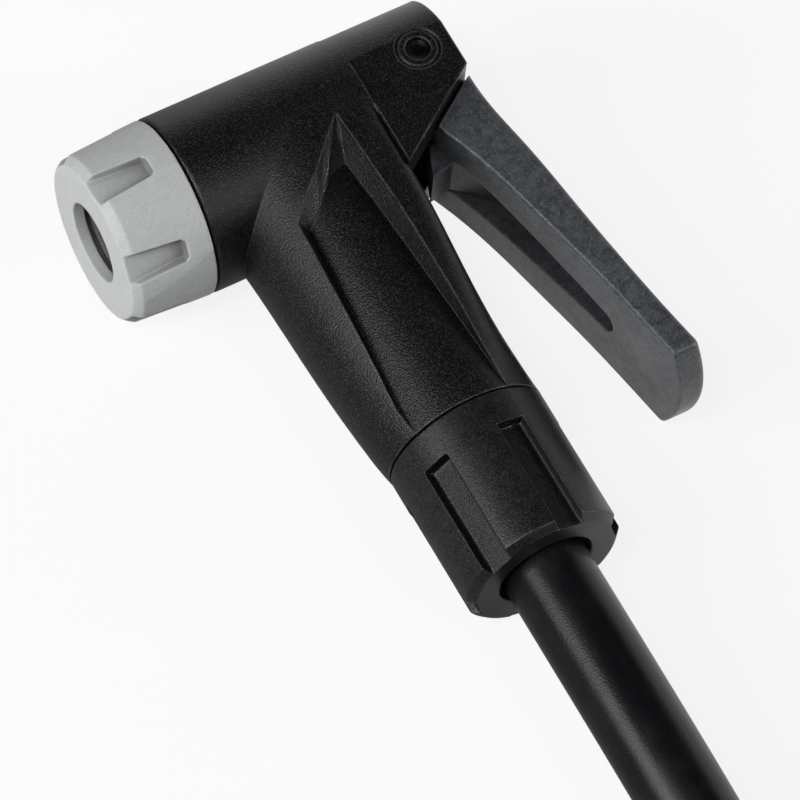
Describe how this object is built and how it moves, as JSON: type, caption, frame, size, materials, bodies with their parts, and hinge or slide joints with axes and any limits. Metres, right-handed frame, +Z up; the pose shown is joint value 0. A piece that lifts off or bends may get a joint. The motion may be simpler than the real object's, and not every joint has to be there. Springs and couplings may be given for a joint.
{
  "type": "hand-held inflator head",
  "caption": "Inflator head that locks on a tyre valve: barrel with a grip cap, neck with a hose nut, cam lever beside the neck, and a rubber hose with a swivel nut at its far end.",
  "frame": {"origin": "centre of the valve hole at the cap's front face", "axes": "+X along the barrel from the valve hole to the rear, the hose leaves towards -Y, +Z up from the surface that the head lies on"},
  "size_m": [0.1415, 0.2122, 0.02],
  "materials": {
    "body_plastic": "fine spark-eroded grain",
    "cap_plastic": "fine grain",
    "lever_plastic": "satin",
    "nut_plastic": "satin",
    "hose_rubber": "satin, extruded",
    "seal_rubber": "matte",
    "inner_plastic": "moulded",
    "steel": "dark, turned",
    "brass": "turned",
    "plated": "nickel plated"
  },
  "bodies": {
    "head": {"head_body": "body_plastic", "front_washer": "inner_plastic", "valve_seal": "seal_rubber", "pivot_pin": "steel", "hose_stem": "brass", "stem_o_ring": "seal_rubber", "clamp_sleeve": "inner_plastic", "hose": "hose_rubber", "hose_coil": "hose_rubber", "hose_tail": "hose_rubber", "hose_ferrule": "plated", "end_stem": "brass", "end_seal": "seal_rubber"},
    "cap": {"retaining_cap": "cap_plastic"},
    "nut": {"hose_nut": "nut_plastic"},
    "lever": {"cam_lever": "lever_plastic"},
    "plunger": {"piston": "inner_plastic", "piston_o_ring_front": "seal_rubber", "piston_o_ring_rear": "seal_rubber", "core_pin": "brass", "cam_shoe": "steel", "thrust_ring": "inner_plastic"},
    "swivel": {"swivel_nut": "plated"}
  },
  "joints": [
    {"name": "lever_throw", "type": "hinge", "parent": "head", "child": "lever", "pos_m": [0.039, 0.0009, 0], "axis": [0, 0, 1], "range_deg": [0, 80]},
    {"name": "piston_slide", "type": "slide", "parent": "head", "child": "plunger", "axis": [-1, 0, 0], "range_m": [0, 0.00201], "deforming": ["valve_seal"]},
    {"name": "cap_turn", "type": "hinge", "parent": "head", "child": "cap", "pos_m": [0, 0, 0], "axis": [1, 0, 0], "continuous": true},
    {"name": "nut_turn", "type": "hinge", "parent": "head", "child": "nut", "pos_m": [0.024, -0.0385, 0], "axis": [0, 1, 0], "continuous": true},
    {"name": "swivel_turn", "type": "hinge", "parent": "head", "child": "swivel", "pos_m": [-0.084, -0.081, -0.003], "axis": [0, 1, 0], "continuous": true}
  ],
  "couplings": [
    {"joint": "piston_slide", "follows": "lever_throw", "m_per_rad": 0.0014324}
  ]
}
